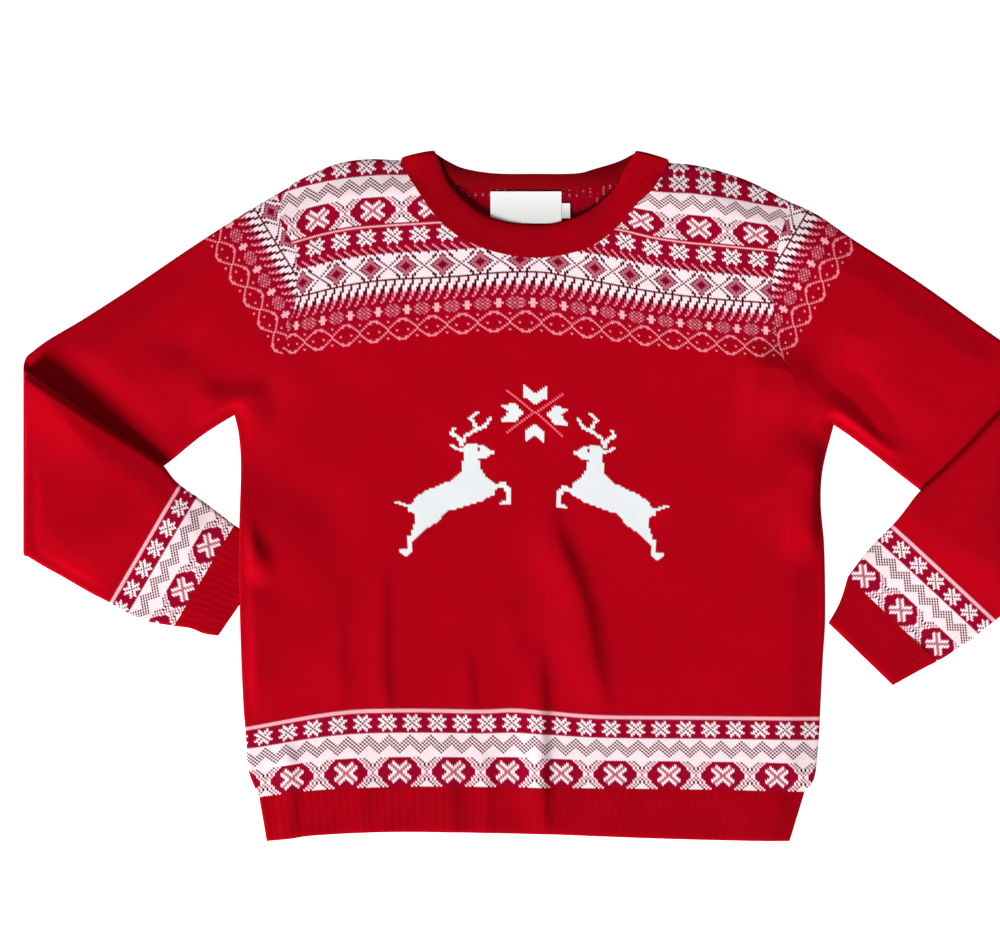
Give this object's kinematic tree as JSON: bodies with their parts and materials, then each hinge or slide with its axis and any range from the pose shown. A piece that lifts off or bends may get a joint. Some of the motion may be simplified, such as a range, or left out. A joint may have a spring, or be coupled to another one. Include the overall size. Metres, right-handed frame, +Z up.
{
  "type": "christmas sweater",
  "caption": "Knitted crew-neck Christmas sweater laid flat, front up, both sleeves folded back at the elbow, ribbed neck, cuffs and hem, fair-isle bands and a deer motif.",
  "frame": {"origin": "centre of the footprint, on the surface that the sweater lies on", "axes": "+Z up from the surface, +X towards the wearer's left sleeve, +Y towards the neck"},
  "size_m": [0.9498, 0.6415, 0.0119],
  "materials": {
    "knit_red": "matte stocking-stitch knit with white stranded bands",
    "rib_red": "matte ribbed knit",
    "label_white": "smooth woven label, bare"
  },
  "bodies": {
    "root": {"front_panel": "knit_red", "back_panel": "knit_red", "right_sleeve": "knit_red", "left_sleeve": "knit_red", "front_hem_rib": "rib_red", "back_hem_rib": "rib_red", "right_cuff": "rib_red", "left_cuff": "rib_red", "neck_rib": "rib_red", "neck_label": "label_white", "size_tab": "label_white"}
  },
  "joints": []
}
